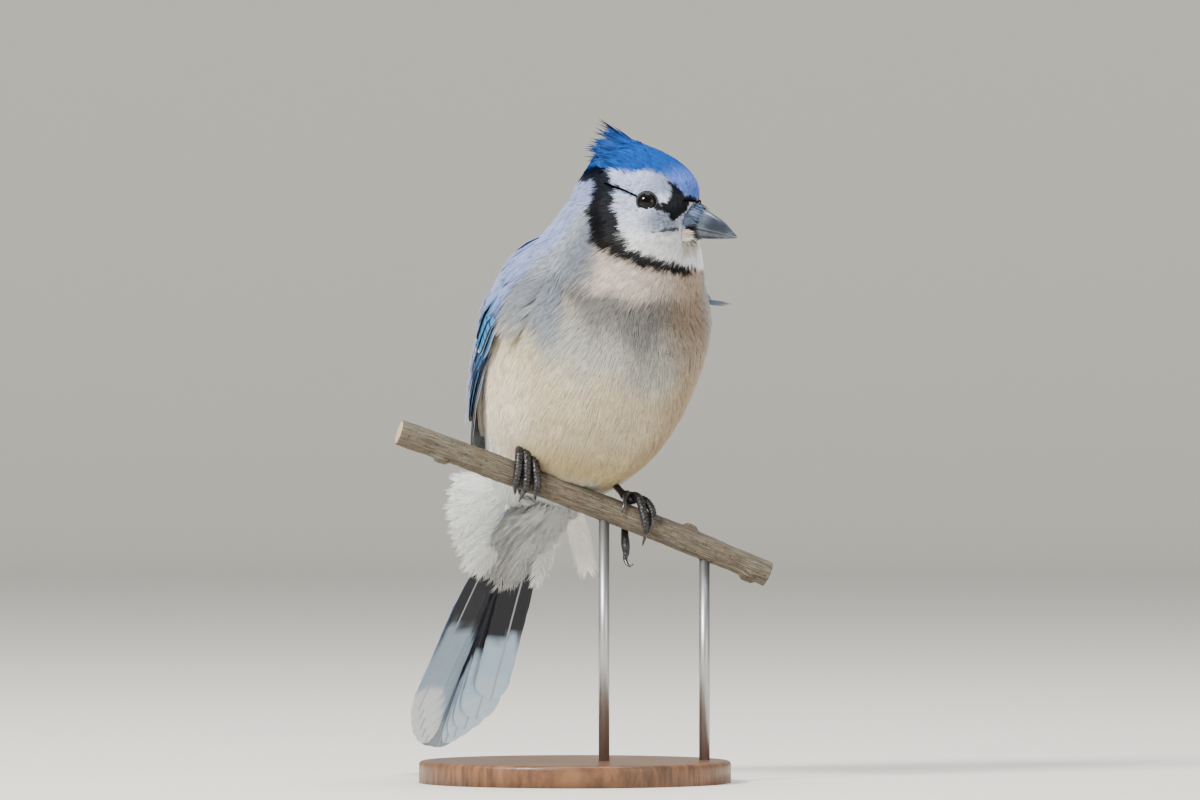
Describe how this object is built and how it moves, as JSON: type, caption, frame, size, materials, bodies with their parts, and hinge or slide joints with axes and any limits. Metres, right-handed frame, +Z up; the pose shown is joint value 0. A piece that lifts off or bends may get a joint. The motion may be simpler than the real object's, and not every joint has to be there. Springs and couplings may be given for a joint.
{
  "type": "bird model",
  "caption": "Still life-size crested jay with a long fanned tail, gripping a short cut branch that two rods hold above a round base.",
  "frame": {"origin": "centre of the stand's underside", "axes": "+Z up; the bird's breast faces -Y, and its bill points mostly to +X"},
  "size_m": [0.1552, 0.1754, 0.2709],
  "materials": {
    "head": "soft feathers, blue crest over a grey-white face",
    "neck": "soft feathers with a black collar",
    "torso": "soft feathers, warm grey to white",
    "wing": "blue flight feathers with black bars",
    "tail": "dark tail feathers with pale tips",
    "bill": "smooth black horn",
    "eye": "clear dark brown eye",
    "foot": "scaled black-grey skin",
    "bark": "grey-brown bark",
    "stand_wood": "satin dark wood",
    "stand_steel": "satin steel"
  },
  "bodies": {
    "root": {"head": "head", "neck": "neck", "torso": "torso", "bill_upper": "bill", "bill_lower": "bill", "eye_left": "eye", "eye_right": "eye", "wing_left": "wing", "wing_right": "wing", "tail": "tail", "leg_left": "foot", "foot_left": "foot", "foot_right": "foot", "perch": "bark", "stand_base": "stand_wood", "stand_rod_1": "stand_steel", "stand_rod_2": "stand_steel"}
  },
  "joints": []
}
